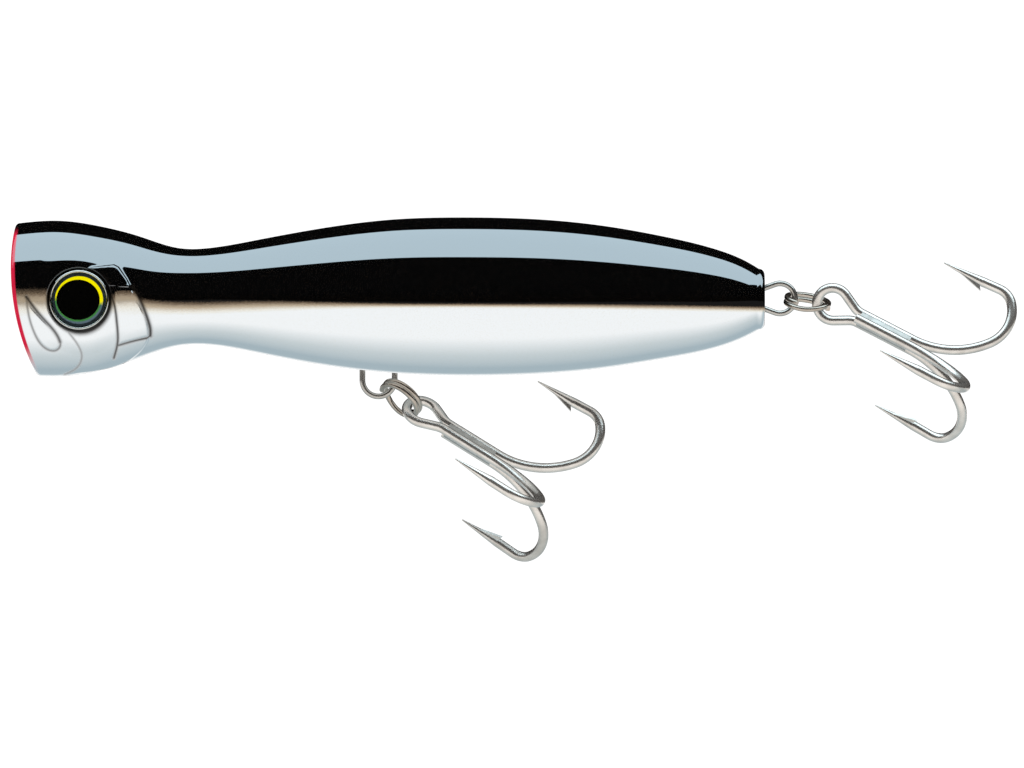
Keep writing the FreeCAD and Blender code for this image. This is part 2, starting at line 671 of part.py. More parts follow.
def chains():
    """The belly and tail assemblies as they trail at rest."""
    belly = Chain(
        "belly",
        loop_centre=Vector(station(BELLY_LOOP_STATION), 0, BELLY_LOOP_HEIGHT),
        loop_radius=BELLY_LOOP,
        loop_angle=38.0,
        ring_dip=40.0,
        ring_lean=28.7,
        ring_slack=0.45,
        eye_gap=0.65,
        hook_yaw=-14.3,
        hook_dip=31.7,
        hook_roll=-17.9,
        eye_angle=-6.0,
        double_phis=(0.0, 120.0),
        single_phi=240.0,
    )
    tail = Chain(
        "tail",
        loop_centre=Vector(station(TAIL_LOOP_STATION), 0, TAIL_LOOP_HEIGHT),
        loop_radius=TAIL_LOOP,
        loop_angle=8.0,
        ring_dip=9.5,
        ring_lean=-14.0,
        ring_slack=0.45,
        eye_gap=0.65,
        hook_yaw=-9.5,
        hook_dip=27.5,
        hook_roll=-17.4,
        eye_angle=-27.0,
        double_phis=(0.0, 240.0),
        single_phi=120.0,
    )
    return [belly, tail]


# ---- build ----------------------------------------------------------------------------------------------------------


def build():
    parts = {}
    hollow = hollow_body()
    clearances = list(hangers(HANGER_WIRE + 2 * FIT_GAP).values())
    parts["left_shell"] = shell(-1, hollow, clearances)
    parts["right_shell"] = shell(1, hollow, clearances)
    parts.update(hangers(HANGER_WIRE))
    parts["holding_magnet"] = magnet()
    for number, ball in enumerate(balls(), 1):
        parts[f"weight_ball_{number}"] = ball
    for side, name in ((-1, "left"), (1, "right")):
        parts[f"{name}_eye_disc"] = eye_disc(side)
        parts[f"{name}_eye_lens"] = eye_lens(side)
    for chain, crossover_turn in zip(chains(), (-100.0, 60.0)):
        parts[f"{chain.name}_split_ring"] = split_ring(chain, crossover_turn)
        parts.update(treble(chain))
    return parts


def main():
    os.makedirs("parts", exist_ok=True)
    for name, shape in build().items():
        solids = shape.Solids
        whole = solids[0] if len(solids) == 1 else Part.makeCompound(solids)
        print(f"{name}: solids {len(solids)}, valid {whole.isValid()}, volume {whole.Volume:.1f} mm3")
        whole.exportStep(f"parts/{name}.step")
    for chain in chains():
        for label, value in (
            ("ring swing point", chain.hanger_point),
            ("ring swing axis", chain.hanger_axis),
            ("treble swing point", chain.ring_wire_point),
            ("treble swing axis", chain.across),
            ("ring centre", chain.ring_centre),
            ("eye centre", chain.eye_centre),
        ):
            print(chain.name, label, [round(x, 4) for x in value])


main()
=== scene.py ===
"""Looks of the topwater popper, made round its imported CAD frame.

The body halves are built here as finer, moulded and painted shells that replace the CAD ones, and a polished
ring is added round each eye. All other pieces keep their CAD shapes. MM turns millimetres into metres.
Stations along the body are millimetres from the foremost point of the lip, as on a builder's drawing.
"""

import math

import bmesh
import bpy
import numpy as np
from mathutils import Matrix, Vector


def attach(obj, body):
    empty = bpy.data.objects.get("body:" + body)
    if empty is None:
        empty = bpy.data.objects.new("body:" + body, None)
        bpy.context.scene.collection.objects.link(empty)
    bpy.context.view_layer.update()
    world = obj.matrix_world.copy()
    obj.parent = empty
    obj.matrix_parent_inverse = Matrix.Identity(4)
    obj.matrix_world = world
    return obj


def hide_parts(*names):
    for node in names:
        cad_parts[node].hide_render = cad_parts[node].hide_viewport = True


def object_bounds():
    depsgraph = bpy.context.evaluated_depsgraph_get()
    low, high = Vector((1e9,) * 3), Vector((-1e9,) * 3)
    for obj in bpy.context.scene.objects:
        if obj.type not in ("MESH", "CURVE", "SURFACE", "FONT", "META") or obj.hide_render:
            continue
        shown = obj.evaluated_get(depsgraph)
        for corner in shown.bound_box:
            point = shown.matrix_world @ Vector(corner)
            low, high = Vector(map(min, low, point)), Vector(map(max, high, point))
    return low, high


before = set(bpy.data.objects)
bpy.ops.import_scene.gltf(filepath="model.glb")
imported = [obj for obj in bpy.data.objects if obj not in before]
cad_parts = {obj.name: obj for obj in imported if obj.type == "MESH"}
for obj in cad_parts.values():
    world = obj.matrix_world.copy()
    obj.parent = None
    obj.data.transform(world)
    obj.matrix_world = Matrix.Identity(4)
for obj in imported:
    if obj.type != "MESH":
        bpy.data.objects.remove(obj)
cad_box = [list(corner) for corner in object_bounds()]

MM = 0.001
BODY = "lure_body"

# ---- sizes, in millimetres ------------------------------------------------------------------------

LINE_TIE_STATION = 3.8
BODY_LENGTH = 130.0
WIDTH_SHARE = 0.95
WALL = 1.6
SEAM_GAP = 0.02

# (station, top, bottom) of the body's outline
OUTLINE = np.array([
    (-3.0, 12.40, -12.95),
    (2.5, 13.10, -13.40),
    (8.0, 13.35, -13.55),
    (15.0, 12.40, -12.55),
    (22.0, 10.60, -10.27),
    (28.5, 8.65, -8.27),
    (34.0, 8.65, -8.10),
    (42.0, 10.00, -9.43),
    (53.0, 12.00, -11.50),
    (66.0, 13.60, -13.00),
    (78.0, 13.93, -13.42),
    (90.0, 13.65, -13.16),
    (102.0, 12.50, -12.15),
    (113.0, 10.55, -10.40),
    (122.0, 8.29, -8.48),
    (127.5, 5.97, -6.30),
    (130.0, 4.40, -4.90),
])
MOUTH_ARC_RADIUS = 47.0
MOUTH_ARC_HEIGHT = 6.0
MOUTH_CENTRE_HEIGHT = -0.2
LIP_RADIUS = 0.62
CUP_DEEPEST = 10.3
TAIL_ROUND = 1.0
TAIL_WALL = 2.8  # closes the inside ahead of the tail face
INNER_START = 14.0  # where the inside begins, behind the mouth cup

EYE_STATION = 11.8
EYE_HEIGHT = -0.43
EYE_GROOVE_RADIUS = 5.6
EYE_FLOOR = 11.1
CHEEK_FLAT = 12.2
CHEEK_REACH = (9.5, 5.9)  # from the eye's centre, where the cheek starts to flatten and is flattest
CHEEK_SHARE = 0.15
EYE_GROOVE_SLOPE = 0.3
OUTER_SIDE = 4.0  # points nearer the centre plane are left out of the cheek and the eye recess

RELIEF_END = (26.5, 25.0)  # stations where the moulded details are gone, and where they are still whole
HEAD_END = 27.0
# Where the painted shade in the moulded lines and round the eye ends along the body.
GROOVE_SHADE_END = 28.0
GROOVE_SHADE_SIDE = 1.0  # no painted shade nearer the centre plane than this

LIP_PAINT = 0.15  # how far the mouth's paint runs back over the lip
LIP_OUTER_ROWS = 10  # rows of the lip's rounding on its outer face
LIP_FRONT = 2.0  # all of the lip ahead of this station counts as its outer face
LIP_FADE_TOP = (12.3, 10.6)  # heights with no paint and full paint
LIP_FADE_FOOT = (-13.5, -8.0)

# Stage and camera, in metres
FLOOR_HEIGHT = -0.064
STAGE_RADIUS = 4.2
STAGE_HOLE = 0.0001  # keeps the innermost ring of faces from closing up
CARD_NEAR = -0.5
CARD_FAR = 0.5
CARD_HALF_LENGTH = 0.75
CARD_LIFT = 0.0005  # over the floor
MIDDLE_X = (cad_box[0][0] + cad_box[1][0]) / 2
SOFTBOX_SIZE = (1.5, 0.54)
SOFTBOX_HEIGHT = 0.50
SOFTBOX_SIDE = -0.065
SHOT_WIDTH = 0.17725
SHOT_CENTRE = (0.0825, -0.0149)  # along the body and upwards
SENSOR_WIDTH = 36.0  # these two in millimetres
LENS = 400.0

# ---- small helpers --------------------------------------------------------------------------------


def natural_spline(xs, ys):
    """A curvature-continuous function through the points."""
    xs, ys = np.asarray(xs, float), np.asarray(ys, float)
    n = len(xs)
    h = np.diff(xs)
    system = np.eye(n)
    right = np.zeros(n)
    for i in range(1, n - 1):
        system[i, i - 1 : i + 2] = (h[i - 1], 2 * (h[i - 1] + h[i]), h[i])
        right[i] = 6 * ((ys[i + 1] - ys[i]) / h[i] - (ys[i] - ys[i - 1]) / h[i - 1])
    bend = np.linalg.solve(system, right)

    def value(x):
        i = np.clip(np.searchsorted(xs, x) - 1, 0, n - 2)
        d, e, w = x - xs[i], xs[i + 1] - x, h[i]
        curve = (bend[i] * e**3 + bend[i + 1] * d**3) / (6 * w)
        return curve + (ys[i] / w - bend[i] * w / 6) * e + (ys[i + 1] / w - bend[i + 1] * w / 6) * d

    return value


top_at = natural_spline(OUTLINE[:, 0], OUTLINE[:, 1])
bottom_at = natural_spline(OUTLINE[:, 0], OUTLINE[:, 2])


def middle_at(u):
    return (top_at(u) + bottom_at(u)) / 2


def height_at(u):
    return (top_at(u) - bottom_at(u)) / 2


def smoothstep(low, high, x):
    t = np.clip((x - low) / (high - low), 0.0, 1.0)
    return t * t * (3 - 2 * t)


def smooth_path(points, count=40):
    """Points along a curvature-continuous curve through a few given ones."""
    points = np.asarray(points, float)
    along = np.concatenate([[0.0], np.cumsum(np.linalg.norm(np.diff(points, axis=0), axis=1))])
    at = np.linspace(0, along[-1], count)
    return np.stack([natural_spline(along, points[:, k])(at) for k in (0, 1)], axis=1)


def path_distance(x, z, path):
    """Distance to a path, and how far along it (0 to 1) the nearest place is."""
    best = np.full(x.shape, 1e9)
    along = np.zeros(x.shape)
    count = len(path) - 1
    for i, (a, b) in enumerate(zip(path, path[1:])):
        d = b - a
        t = np.clip(((x - a[0]) * d[0] + (z - a[1]) * d[1]) / (d @ d), 0, 1)
        distance = np.hypot(x - a[0] - t * d[0], z - a[1] - t * d[1])
        near = distance < best
        best = np.where(near, distance, best)
        along = np.where(near, (i + t) / count, along)
    return best, along


def inside_path(x, z, path):
    """Whether each point is inside a closed path."""
    inside = np.zeros(x.shape, bool)
    for a, b in zip(path, np.roll(path, -1, axis=0)):
        crosses = (a[1] > z) != (b[1] > z)
        span = b[1] - a[1] if abs(b[1] - a[1]) > 1e-12 else 1e-12
        inside ^= crosses & (x < (b[0] - a[0]) * (z - a[1]) / span + a[0])
    return inside


def mesh_object(name, vertices, faces):
    mesh = bpy.data.meshes.new(name)
    mesh.from_pydata([tuple(v) for v in vertices], [], [tuple(f) for f in faces])
    mesh.polygons.foreach_set("use_smooth", [True] * len(mesh.polygons))
    piece = bpy.data.objects.new(name, mesh)
    bpy.context.scene.collection.objects.link(piece)
    return piece


def clean_mesh(piece):
    """Joins doubled points, drops the faces that they close up, and turns all faces outwards."""
    merge = 1e-7
    work = bmesh.new()
    work.from_mesh(piece.data)
    bmesh.ops.remove_doubles(work, verts=work.verts, dist=merge)
    bmesh.ops.dissolve_degenerate(work, edges=work.edges, dist=merge)
    bmesh.ops.recalc_face_normals(work, faces=work.faces)
    work.to_mesh(piece.data)
    work.free()


# ---- materials ------------------------------------------------------------------------------------


class Material:
    """A node material with a Principled shader and short calls for the usual nodes."""

    def __init__(self, name, **constants):
        self.material = bpy.data.materials.new(name)
        self.material.use_nodes = True
        self.tree = self.material.node_tree
        self.shader = self.tree.nodes["Principled BSDF"]
        for socket, value in constants.items():
            self.shader.inputs[socket.replace("_", " ")].default_value = value

    def node(self, kind, **settings):
        made = self.tree.nodes.new(kind)
        for key, value in settings.items():
            setattr(made, key, value)
        return made

    def link(self, source, target):
        self.tree.links.new(source, target)

    def to(self, socket, source):
        self.link(source, self.shader.inputs[socket])

    def attribute(self, name):
        return self.node("ShaderNodeAttribute", attribute_name=name).outputs["Fac"]

    def place(self):
        return self.node("ShaderNodeTexCoord").outputs["Object"]

    def noise(self, scale, detail=3.0):
        texture = self.node("ShaderNodeTexNoise")
        texture.inputs["Scale"].default_value = scale
        texture.inputs["Detail"].default_value = detail
        self.link(self.place(), texture.inputs["Vector"])
        return texture.outputs["Fac"]

    def math(self, operation, a, b, clamp=False):
        made = self.node("ShaderNodeMath", operation=operation, use_clamp=clamp)
        for socket, value in zip(made.inputs, (a, b)):
            if isinstance(value, (int, float)):
                socket.default_value = value
            else:
                self.link(value, socket)
        return made.outputs[0]

    def span(self, source, low, high, to_low=0.0, to_high=1.0):
        made = self.node("ShaderNodeMapRange")
        self.link(source, made.inputs["Value"])
        ends = (("From Min", low), ("From Max", high), ("To Min", to_low), ("To Max", to_high))
        for name, value in ends:
            made.inputs[name].default_value = value
        return made.outputs["Result"]

    def ramp(self, source, stops):
        made = self.node("ShaderNodeValToRGB")
        elements = made.color_ramp.elements
        while len(elements) < len(stops):
            elements.new(0.5)
        for element, (position, colour) in zip(elements, stops):
            element.position = position
            element.color = (*colour, 1.0)
        self.link(source, made.inputs["Fac"])
        return made.outputs["Color"]

    def mix(self, factor, a, b):
        made = self.node("ShaderNodeMix", data_type="RGBA")
        self.link(factor, made.inputs["Factor"])
        for socket, value in ((made.inputs[6], a), (made.inputs[7], b)):
            if isinstance(value, tuple):
                socket.default_value = (*value, 1.0)
            else:
                self.link(value, socket)
        return made.outputs[2]

    def bump(self, height, strength, distance):
        made = self.node("ShaderNodeBump")
        made.inputs["Strength"].default_value = strength
        made.inputs["Distance"].default_value = distance
        self.link(height, made.inputs["Height"])
        self.to("Normal", made.outputs["Normal"])


def metal(name, dark, light, rough_low, rough_high, scale=900.0, bump=0.06, metallic=1.0):
    """Metal whose tone and roughness vary finely, as drawn, plated or polished wire does."""
    made = Material(name, Metallic=metallic)
    grain = made.noise(scale, 4.0)
    broad = made.noise(scale / 8, 2.0)
    total = made.math("ADD", made.math("MULTIPLY", grain, 0.6), made.math("MULTIPLY", broad, 0.4))
    made.to("Base Color", made.ramp(total, [(0.3, dark), (0.7, light)]))
    made.to("Roughness", made.span(total, 0.3, 0.7, rough_high, rough_low))
    made.bump(grain, bump, 0.00003)
    return made.material


def lure_paint():
    """Black back over bright chrome, with a brown sprayed edge, painted shade in the moulded lines and round
    the eye, and a red mouth.
    """
    made = Material("lure_paint", Coat_Roughness=0.02, Coat_IOR=3.0, Specular_IOR_Level=0.0)
    speckle = made.math("MULTIPLY", made.math("SUBTRACT", made.noise(5200.0, 2.0), 0.5), 0.30)
    fade = made.math("ADD", made.attribute("back"), speckle)
    back = made.ramp(fade, [
        (0.0, (0.86, 0.87, 0.88)),
        (0.20, (0.80, 0.77, 0.70)),
        (0.50, (0.44, 0.36, 0.26)),
        (0.76, (0.14, 0.10, 0.065)),
        (0.93, (0.005, 0.0035, 0.0025)),
        (1.0, (0.001, 0.001, 0.001)),
    ])
    # Painted shade: the moulded lines and the groove round the eye are darkened almost to black.
    shaded_back = made.mix(made.math("MULTIPLY", made.attribute("groove_shade"), 0.96), back, (0.006, 0.005, 0.004))
    red = made.mix(made.noise(260.0, 2.0), (0.46, 0.008, 0.032), (0.60, 0.018, 0.058))
    made.to("Base Color", made.mix(made.attribute("mouth"), shaded_back, red))
    bare = made.span(fade, 0.12, 0.62, 1.0, 0.0)
    # The painted shade also takes away the coat and the chrome where it lies.
    unshaded = made.math("SUBTRACT", 1.0, made.attribute("groove_shade"), clamp=True)
    split = made.node("ShaderNodeSeparateXYZ")
    made.link(made.place(), split.inputs[0])
    upper = made.span(split.outputs["Z"], -0.0001, 0.0008, 0.03, 1.0)
    unmouthed = made.math("SUBTRACT", 1.0, made.math("MULTIPLY", made.attribute("mouth"), 0.7))
    made.to("Coat Weight", made.math("MULTIPLY", made.math("MULTIPLY", upper, unshaded), unmouthed))
    unpainted = made.math("SUBTRACT", 1.0, made.attribute("mouth"), clamp=True)
    made.to("Metallic", made.math("MULTIPLY", made.math("MULTIPLY", bare, unshaded), unpainted))
    made.to("Roughness", made.span(made.noise(1400.0, 3.0), 0.3, 0.7, 0.10, 0.17))
    return made.material


def eye_print():
    """The printed disc: a black pupil in a yellow ring; the ring's green and blue-grey lower part is painted
    shade and a painted reflection of the lens, and its dark blue-grey outer ring is a painted reflection of
    the lens's edge.
    """
    made = Material("eye_print", Specular_IOR_Level=0.0)
    split = made.node("ShaderNodeSeparateXYZ")
    made.link(made.place(), split.inputs[0])
    x = made.math("MULTIPLY", split.outputs["X"], 1 / MM)
    x = made.math("SUBTRACT", x, EYE_STATION - LINE_TIE_STATION)
    z = made.math("SUBTRACT", made.math("MULTIPLY", split.outputs["Z"], 1 / MM), EYE_HEIGHT)

    def reach(across, up, half_width, half_height):
        """Distance from a centre, as a share of an ellipse's radius."""
        a = made.math("DIVIDE", made.math("SUBTRACT", x, across), half_width)
        b = made.math("DIVIDE", made.math("SUBTRACT", z, up), half_height)
        total = made.math("ADD", made.math("MULTIPLY", a, a), made.math("MULTIPLY", b, b))
        return made.math("SQRT", total, 0.0)

    pupil = reach(-0.16, 0.02, 3.74, 3.48)
    streaks = made.math("MULTIPLY", made.math("SUBTRACT", made.noise(3000.0, 2.0), 0.5), 1.2)
    tilt = made.math("ADD", made.math("ADD", z, made.math("MULTIPLY", x, 0.12)), streaks)
    # Painted shade and reflection: below, the yellow ring is painted green as if in shade, then blue-grey as
    # the lens dome's reflection.
    lower_shade_and_reflection = made.mix(made.span(pupil, 1.06, 1.10), (0.05, 0.20, 0.05), (0.095, 0.14, 0.17))
    iris = made.mix(made.span(tilt, -0.5, 0.3), lower_shade_and_reflection, (0.90, 0.80, 0.0))
    rim = made.span(reach(0.0, -0.02, 4.14, 4.10), 0.99, 1.01)
    # The dark blue-grey outer ring is a painted reflection of the lens's edge.
    edge = made.mix(rim, iris, (0.018, 0.026, 0.030))
    made.to("Base Color", made.mix(made.span(pupil, 0.985, 1.01), (0.001, 0.001, 0.0008), edge))
    return made.material


def clear_lens():
    """Clear resin dome over the eye: see-through, with a gloss that grows where it is seen at a slant."""
    made = Material("clear_lens")
    clear = made.node("ShaderNodeBsdfTransparent")
    gloss = made.node("ShaderNodeBsdfGlossy")
    gloss.inputs["Roughness"].default_value = 0.02
    facing = made.node("ShaderNodeLayerWeight")
    facing.inputs["Blend"].default_value = 0.5
    glance = made.math("POWER", facing.outputs["Facing"], 4.0)
    mixed = made.node("ShaderNodeMixShader")
    made.link(glance, mixed.inputs[0])
    made.link(clear.outputs[0], mixed.inputs[1])
    made.link(gloss.outputs[0], mixed.inputs[2])
    made.link(mixed.outputs[0], made.tree.nodes["Material Output"].inputs["Surface"])
    return made.material


def pale_stage():
    made = Material("pale_stage", Roughness=0.9)
    made.shader.inputs["Specular IOR Level"].default_value = 0.1
    made.to("Base Color", made.ramp(made.noise(30.0), [(0.3, (0.09, 0.09, 0.09)), (0.7, (0.11, 0.11, 0.11))]))
    made.shader.inputs["Emission Color"].default_value = (1.0, 1.0, 1.0, 1.0)
    made.shader.inputs["Emission Strength"].default_value = 1.0
    made.material.cycles.emission_sampling = "NONE"
    return made.material


def glowing_card():
    """Light that only shows in reflections: white before and behind the lure, blue-grey under it."""
    made = Material("glowing_card")
    split = made.node("ShaderNodeSeparateXYZ")
    made.link(made.place(), split.inputs[0])
    across = made.span(split.outputs["Y"], CARD_NEAR, CARD_FAR)
    dark, white = (0.0, 0.0, 0.0), (1.02, 1.04, 1.045)
    grey, deep = (0.64, 0.71, 0.73), (0.42, 0.52, 0.57)
    made.to("Emission Color", made.ramp(across, [
        (0.0, dark), (0.13, white), (0.46, white), (0.495, grey), (0.535, deep), (0.59, deep), (0.68, white),
        (0.87, white), (1.0, dark),
    ]))
    made.shader.inputs["Emission Strength"].default_value = 1.0
    made.shader.inputs["Base Color"].default_value = (0.0, 0.0, 0.0, 1.0)
    made.shader.inputs["Specular IOR Level"].default_value = 0.0
    made.material.cycles.emission_sampling = "NONE"
    return made.material


# ---- the moulded head -----------------------------------------------------------------------------

TEARDROP = smooth_path(
    [(2.8, -0.1), (5.6, -3.7), (8.3, -7.2), (8.55, -8.1), (8.0, -9.0), (7.1, -9.2), (5.6, -8.5), (4.1, -6.1),
     (3.2, -3.2), (2.8, -0.1)], 80)
TEARDROP_BACK = smooth_path([(2.75, 0.1), (5.6, -3.6), (8.3, -7.15), (8.5, -7.7)], 24)
JAW_LINE = smooth_path([(9.9, -5.9), (11.5, -8.0), (12.15, -9.8), (11.5, -11.6), (8.9, -13.3)])
CHEEK_LINE = smooth_path([(16.6, 2.0), (17.8, -1.0), (18.3, -4.5), (18.35, -7.4), (17.6, -10.1)])
GILL_EDGE = smooth_path([(21.0, 2.0), (22.5, -1.0), (23.6, -4.0), (23.95, -5.7), (23.9, -6.6)])
GILL_FOOT = smooth_path([(23.9, -6.6), (21.0, -7.25), (18.45, -8.0)], 16)
BROW_RIDGE = smooth_path([(16.9, 2.25), (18.6, 2.05), (20.4, 1.95)], 12)
HEAD_PLATE = np.concatenate([
    np.array([(5.0, 4.2), (12.2, 4.5), (13.8, 5.35), (17.8, 5.8), (18.7, 5.35)]),
    smooth_path([(20.2, 3.2), (22.3, -0.9), (23.6, -4.0), (23.95, -6.2), (23.4, -7.8), (21.2, -10.2),
                 (17.7, -11.9), (12.0, -13.1), (5.0, -15.0)], 90),
])
GILL_PLATE = np.array([
    (17.9, 1.2), (21.4, 1.2), (22.6, -1.0), (23.6, -4.0), (23.9, -6.5), (18.4, -7.95), (18.2, -4.5),
])


def raised(x, z, outline, bevel):
    """1 inside an outline and 0 outside it, with a bevel along its inner edge."""
    distance, _ = path_distance(x, z, np.vstack([outline, outline[:1]]))
    return np.where(inside_path(x, z, outline), smoothstep(0.0, bevel, distance), 0.0)


def line(x, z, path, width):
    """How strongly each point lies on a line, and how far along it."""
    distance, along = path_distance(x, z, path)
    return np.exp(-((distance / width) ** 2)), along


def head_relief(x, z):
    """Height of the moulded details over the plain form, in millimetres."""
    relief = 0.42 * raised(x, z, HEAD_PLATE, 0.5) * smoothstep(8.5, 14.5, x)
    relief = relief + 0.14 * raised(x, z, GILL_PLATE, 0.6)
    relief = relief + 0.10 * raised(x, z, TEARDROP[:-1], 0.5)
    relief = relief - 0.07 * line(x, z, TEARDROP_BACK, 0.32)[0]
    for path, width, depth in (
        (TEARDROP, 0.26, 0.03), (JAW_LINE, 0.26, 0.03), (CHEEK_LINE, 0.30, 0.06), (GILL_FOOT, 0.26, 0.05),
    ):
        relief = relief - depth * line(x, z, path, width)[0]
    return relief + 0.12 * line(x, z, BROW_RIDGE, 0.22)[0]


def head_groove_shade(x, z):
    """Painted shade in the moulded lines, and a painted shadow in the groove round the eye."""
    groove_shade = np.zeros_like(x)
    for path, width, start, end in (
        (TEARDROP_BACK, 0.32, 1.0, 0.9), (TEARDROP, 0.22, 0.85, 0.7), (JAW_LINE, 0.20, 0.65, 0.6),
        (CHEEK_LINE, 0.26, 1.0, 0.95), (GILL_EDGE, 0.36, 1.0, 1.0), (GILL_FOOT, 0.24, 1.0, 0.9),
    ):
        on_line, along = line(x, z, path, width)
        groove_shade = np.maximum(groove_shade, on_line * (start + (end - start) * along))
    # Painted shadow in the groove round the eye, wider towards its rear and lower side.
    around = np.hypot(x - EYE_STATION, z - EYE_HEIGHT)
    rear = smoothstep(-3.0, 4.0, (x - EYE_STATION) - (z - EYE_HEIGHT) * 0.7)
    eye_groove_shadow = smoothstep(5.9 + 0.5 * rear, 5.35, around)
    return np.maximum(groove_shade, eye_groove_shadow)


# Heights where the sprayed back starts and where it is fully black
BACK_STATIONS = (0, 8, 16, 24, 40, 60, 100, 130)
BACK_START = natural_spline(BACK_STATIONS, (-3.3, -3.3, -2.8, -3.0, -2.7, -2.0, -2.1, -2.6))
BACK_FULL = natural_spline(BACK_STATIONS, (1.9, 1.9, 1.2, -0.1, -0.4, -0.8, -1.05, -1.45))


def back_paint(x, z):
    """0 where the chrome is bare and 1 where the back is black, in millimetres of station and height."""
    low, high = BACK_START(x), BACK_FULL(x)
    sprayed = np.clip((z - low) / (high - low), 0.0, 1.0)
    plate = raised(x, z, GILL_PLATE, 0.1)
    on_plate = np.clip((z + 3.2) / 4.9, 0.0, 1.0) ** 1.3
    return np.maximum(sprayed * (1 - plate), 0) + on_plate * plate


# ---- body halves ----------------------------------------------------------------------------------


def mouth_face(z):
    """Station of the slanted mouth's face at a height."""
    return MOUTH_ARC_RADIUS - np.sqrt(MOUTH_ARC_RADIUS**2 - (z - MOUTH_ARC_HEIGHT) ** 2)


def body_rows(theta):
    """Rows of points (station, side, height) from the cup's bottom over the lip and the skin to the tail.

    theta is each column's angle, from -90 degrees at the belly to 90 at the back. Also gives, for each row,
    the inner wall's station and share of radius and the mouth's paint, and the rows where the skin starts
    and ends.
    """
    cos, sin = np.cos(theta), np.sin(theta)
    edge = np.full(theta.shape, 1.0)
    for _ in range(30):
        edge = mouth_face(middle_at(edge) + height_at(edge) * sin)
    start = edge + LIP_RADIUS
    rim_y, rim_z = WIDTH_SHARE * height_at(start) * cos, middle_at(start) + height_at(start) * sin
    reach = np.hypot(rim_y, rim_z - MOUTH_CENTRE_HEIGHT)
    rows, inner, paint = [], [], []

    def add(u, y, z, inner_u, inner_share, mouth):
        rows.append(np.stack([np.broadcast_to(u, theta.shape), y, z]))
        inner.append((inner_u, inner_share))
        paint.append(mouth)

    def mouth_point(share):
        z = MOUTH_CENTRE_HEIGHT + share * (rim_z - MOUTH_CENTRE_HEIGHT)
        return share * rim_y, z

    inner_edge = 1 - 2 * LIP_RADIUS / reach
    depth = CUP_DEEPEST - LIP_RADIUS - mouth_face(MOUTH_CENTRE_HEIGHT)
    cup_rows, lip_rows = 40, 16
    for k in range(cup_rows):
        q = math.sin(math.pi / 2 * k / cup_rows)
        y, z = mouth_point(q * inner_edge)
        add(mouth_face(z) + LIP_RADIUS + depth * math.sqrt(1 - q * q), y, z, 11.7 + 2.3 * (k / cup_rows) ** 2,
            k / cup_rows, 1.0)
    for k in range(lip_rows):
        turn = math.pi * (1 - k / lip_rows)
        y, z = mouth_point(1 - LIP_RADIUS / reach * (1 - math.cos(turn)))
        add(mouth_face(z) + LIP_RADIUS * (1 - math.sin(turn)), y, z, INNER_START + 0.01 * k, 1.0, 1.0)
    skin_first = len(rows)
    head_end, head_count, rear_count = 26.0, 190, 250
    tail_start = BODY_LENGTH - TAIL_ROUND
    shares = np.arange(head_count) / head_count
    for k, share in enumerate(shares):
        u = start + share * (head_end - start)
        y, z = WIDTH_SHARE * height_at(u) * cos, middle_at(u) + height_at(u) * sin
        inner_u = max(14.2 + 0.005 * k, LIP_RADIUS + share * (head_end - LIP_RADIUS))
        add(u, y, z, inner_u, 1.0, max(0.0, 1.0 - share * head_end / LIP_PAINT))
    for k in range(rear_count + 1):
        u = head_end + (tail_start - head_end) * k / rear_count
        y, z = WIDTH_SHARE * height_at(u) * cos, middle_at(u) + height_at(u) * sin
        add(u, y, z, min(u, BODY_LENGTH - 3.0) + 0.0004 * k, 1.0, 0.0)
    skin_last = len(rows)
    end_y, end_z, end_mid = y, z - middle_at(u), middle_at(u)
    tail_radius = height_at(u)
    bend_rows, face_rows = 10, 8
    for k in range(1, bend_rows + 1):
        turn = math.pi / 2 * k / bend_rows
        share = 1 - TAIL_ROUND * (1 - math.cos(turn)) / tail_radius
        add(tail_start + TAIL_ROUND * math.sin(turn), end_y * share, end_mid + end_z * share,
            BODY_LENGTH - TAIL_WALL + 0.01 * k, 1.0, 0.0)
    flat_share = share
    for k in range(1, face_rows + 1):
        share = flat_share * (1 - k / face_rows)
        add(BODY_LENGTH, end_y * share, end_mid + end_z * share, BODY_LENGTH - 2.6, 1 - k / face_rows, 0.0)
    return np.array(rows), inner, paint, (skin_first, skin_last)


def moulded(rows, skin, cos, sin):
    """The skin's rows with the cheeks, the eye recess and the moulded lines raised or sunk."""
    u, y, z = rows[skin[0] : skin[1], 0], rows[skin[0] : skin[1], 1], rows[skin[0] : skin[1], 2]
    relief = np.where(u < HEAD_END, head_relief(u, z), 0.0)
    relief = relief * smoothstep(*RELIEF_END, u) * smoothstep(0.3, 1.5, y)
    out_y, out_z = cos / WIDTH_SHARE, sin
    scale = np.hypot(out_y, out_z)
    new_y, new_z = y + relief * out_y / scale, z + relief * out_z / scale
    around = np.hypot(u - EYE_STATION, z - EYE_HEIGHT)
    cheek = CHEEK_SHARE * smoothstep(*CHEEK_REACH, around)
    new_y = np.where(y > OUTER_SIDE, new_y + cheek * np.maximum(CHEEK_FLAT - new_y, 0), new_y)
    recess = smoothstep(EYE_GROOVE_RADIUS, EYE_GROOVE_RADIUS - EYE_GROOVE_SLOPE, around)
    new_y = np.where(y > OUTER_SIDE, new_y + recess * np.minimum(EYE_FLOOR - new_y, 0), new_y)
    rows = rows.copy()
    rows[skin[0] : skin[1], 1], rows[skin[0] : skin[1], 2] = new_y, new_z
    return rows


def grid_faces(rows, columns, first=0):
    """Quads of a grid whose points run column by column along each row."""
    i, j = np.meshgrid(np.arange(rows - 1), np.arange(columns - 1), indexing="ij")
    a = (first + i * columns + j).ravel()
    return np.stack([a, a + 1, a + 1 + columns, a + columns], axis=1)


